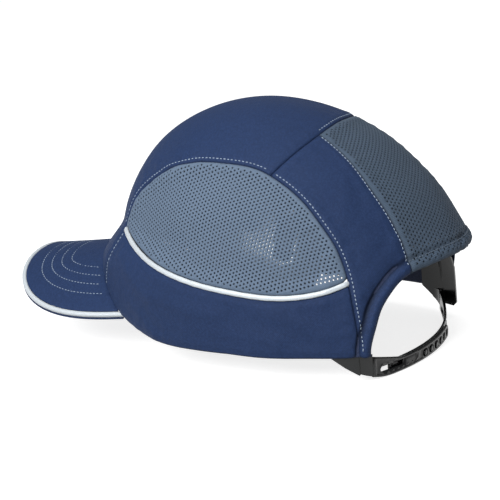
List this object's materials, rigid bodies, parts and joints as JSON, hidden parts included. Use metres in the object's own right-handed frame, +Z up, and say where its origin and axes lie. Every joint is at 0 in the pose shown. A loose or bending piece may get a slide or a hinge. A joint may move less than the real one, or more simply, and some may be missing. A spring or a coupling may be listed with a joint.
{
  "type": "bump cap",
  "caption": "Baseball-style bump cap: navy panels with mesh windows and piped edges over a removable impact shell, short arched brim, snap strap behind.",
  "frame": {"origin": "middle of the head opening, on the plane of the side hems", "axes": "+X to the wearer's left, -Y to the front and the brim, +Z up through the crown"},
  "size_m": [0.176, 0.2702, 0.1396],
  "materials": {
    "navy_nylon": "satin",
    "air_mesh": "matte",
    "reflective_piping": "satin",
    "inner_tape": "matte",
    "brim_fabric": "satin",
    "brim_underside": "matte",
    "brim_board": "matte",
    "impact_shell": "gloss",
    "foam_pad": "matte",
    "sweatband": "matte",
    "strap_plastic": "satin"
  },
  "bodies": {
    "cap": {"crown_panel": "navy_nylon", "side_band_left": "navy_nylon", "side_band_right": "navy_nylon", "rear_quarter_left": "navy_nylon", "rear_quarter_right": "navy_nylon", "side_mesh_left": "air_mesh", "side_mesh_right": "air_mesh", "rear_mesh": "air_mesh", "side_piping_left": "reflective_piping", "side_piping_right": "reflective_piping", "brim_piping": "reflective_piping", "hem_tape": "inner_tape", "opening_binding": "inner_tape", "seam_tape_left": "inner_tape", "seam_tape_right": "inner_tape", "brim_top_cover": "brim_fabric", "brim_under_cover": "brim_underside", "brim_board": "brim_board", "strap_base_left": "strap_plastic", "strap_base_right": "strap_plastic"},
    "insert": {"impact_shell": "impact_shell", "sweatband": "sweatband", "pad_crown": "foam_pad", "pad_front": "foam_pad", "pad_rear": "foam_pad", "pad_left": "foam_pad", "pad_right": "foam_pad"},
    "strap_left": {"strap_band_left": "strap_plastic"},
    "strap_right": {"strap_band_right": "strap_plastic"}
  },
  "joints": [
    {"name": "insert_slide", "type": "slide", "parent": "cap", "child": "insert", "axis": [0, 0.1772, -0.9842], "range_m": [0, 0.048]},
    {"name": "strap_left_swing", "type": "hinge", "parent": "cap", "child": "strap_left", "pos_m": [0.06356, 0.06121, 0], "axis": [0, 0, -1], "range_deg": [0, 80]},
    {"name": "strap_right_swing", "type": "hinge", "parent": "cap", "child": "strap_right", "pos_m": [-0.06842, 0.05643, 0], "axis": [0, 0, -1], "range_deg": [0, 38]}
  ]
}
